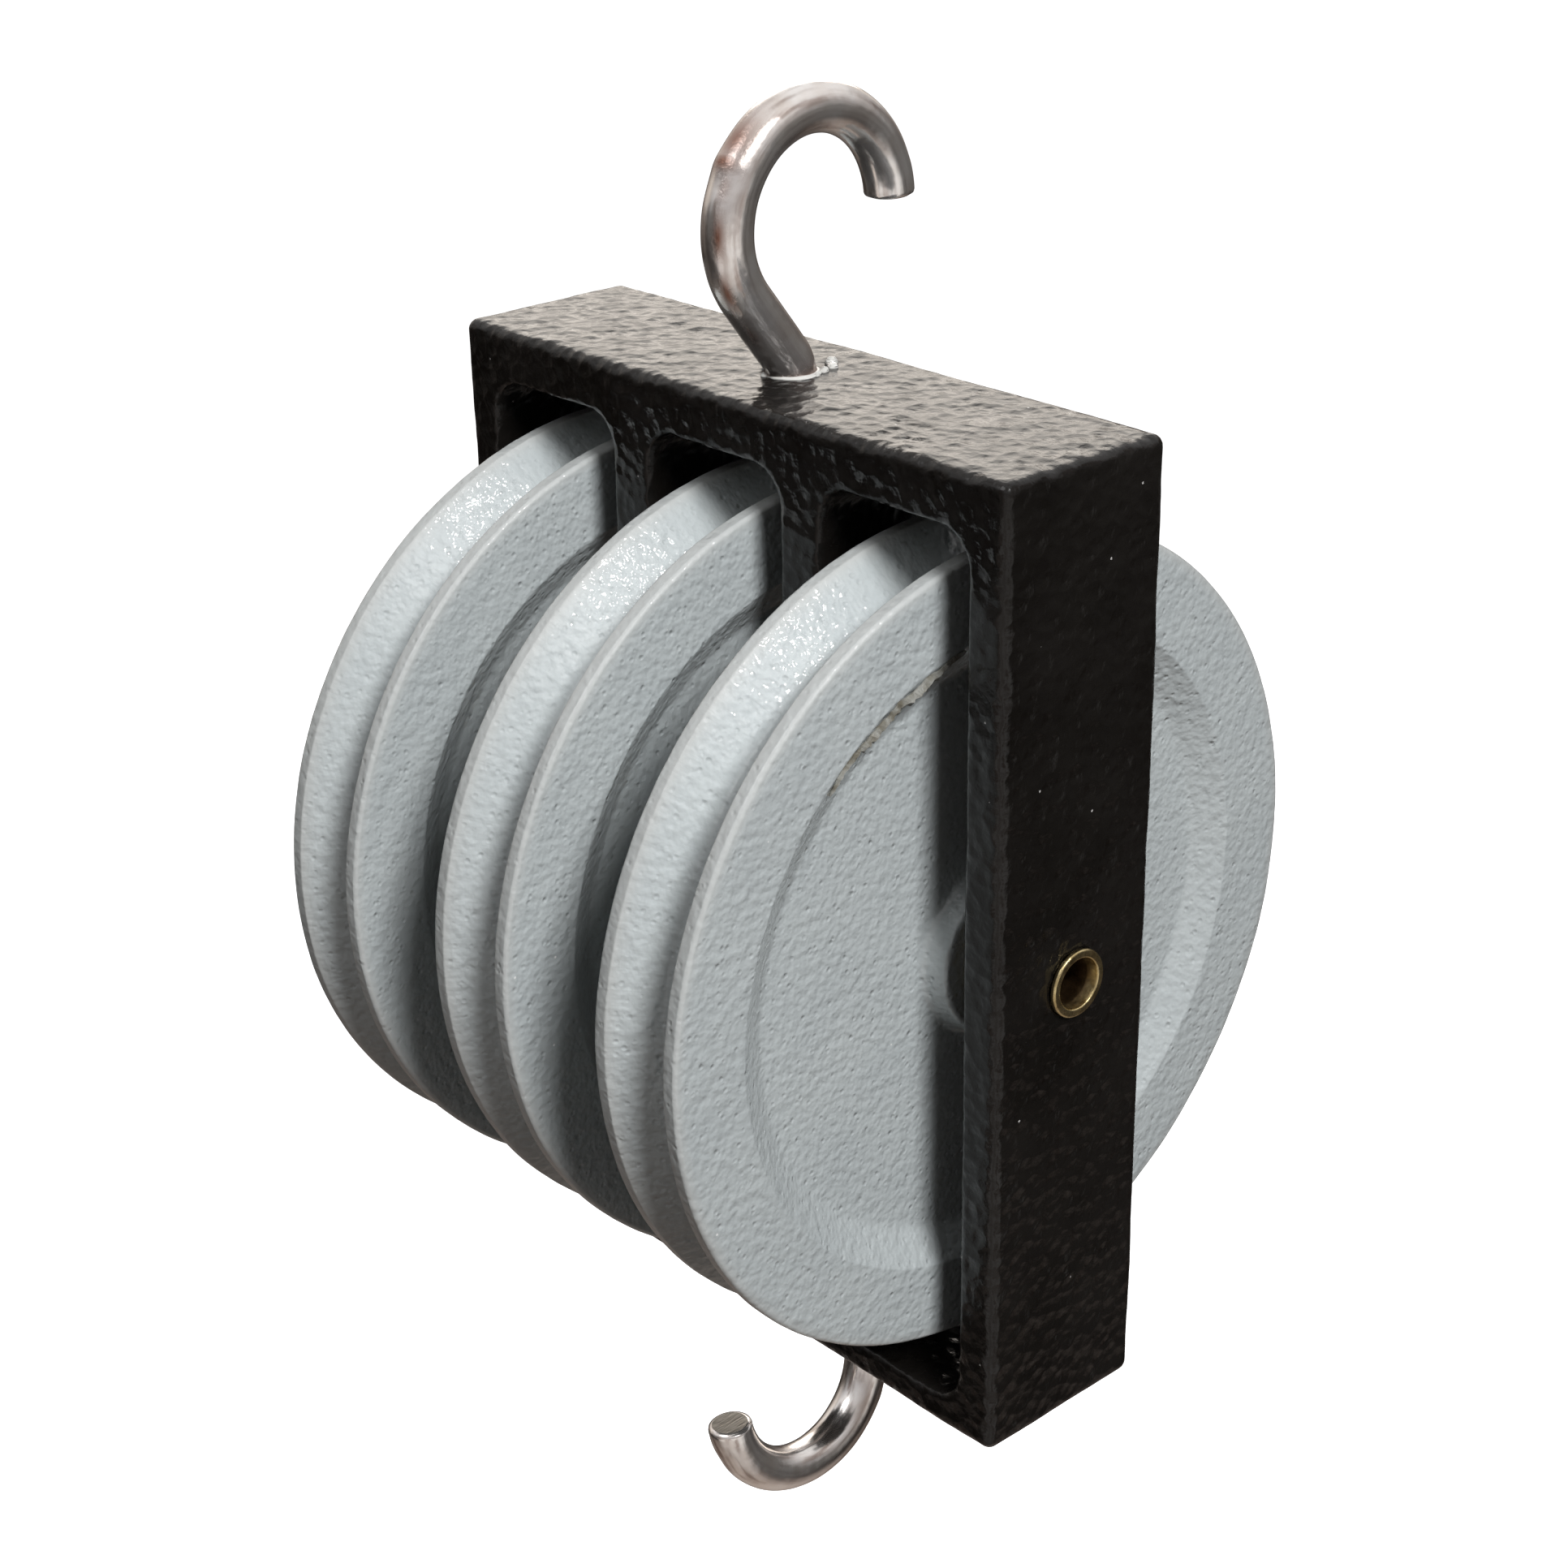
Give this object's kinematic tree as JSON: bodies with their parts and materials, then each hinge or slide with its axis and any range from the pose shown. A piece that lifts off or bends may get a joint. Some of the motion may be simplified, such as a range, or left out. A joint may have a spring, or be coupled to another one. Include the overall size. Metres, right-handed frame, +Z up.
{
  "type": "triple pulley block",
  "caption": "Pulley block with grooved sheaves side by side on a hollow axle, in a cast frame with an open hook at each end.",
  "frame": {"origin": "where the upper hook bears on what it hangs from: the top of the inside of its bowl", "axes": "+Z up along the pull, +X along the axle, -Y is the front, the side that the lower hook's tip is on"},
  "size_m": [0.0468, 0.0501, 0.0932],
  "materials": {
    "frame_paint": "black textured powder coat, glossy",
    "sheave_paint": "light grey powder coat with a fine orange peel, semi-gloss",
    "axle_brass": "bare brass tube, drawn, flared ends",
    "hook_plating": "bright plated steel wire with bending marks"
  },
  "bodies": {
    "block": {"frame": "frame_paint", "axle_tube": "axle_brass", "upper_hook": "hook_plating", "lower_hook": "hook_plating"},
    "left_wheel": {"sheave_left": "sheave_paint"},
    "middle_wheel": {"sheave_middle": "sheave_paint"},
    "right_wheel": {"sheave_right": "sheave_paint"}
  },
  "joints": [
    {"name": "left_sheave_spin", "type": "hinge", "parent": "block", "child": "left_wheel", "pos_m": [-0.01505, -0.00165, -0.0442], "axis": [1, 0, 0], "continuous": true},
    {"name": "middle_sheave_spin", "type": "hinge", "parent": "block", "child": "middle_wheel", "pos_m": [-0.00045, -0.00165, -0.0442], "axis": [1, 0, 0], "continuous": true},
    {"name": "right_sheave_spin", "type": "hinge", "parent": "block", "child": "right_wheel", "pos_m": [0.01415, -0.00165, -0.0442], "axis": [1, 0, 0], "continuous": true}
  ]
}
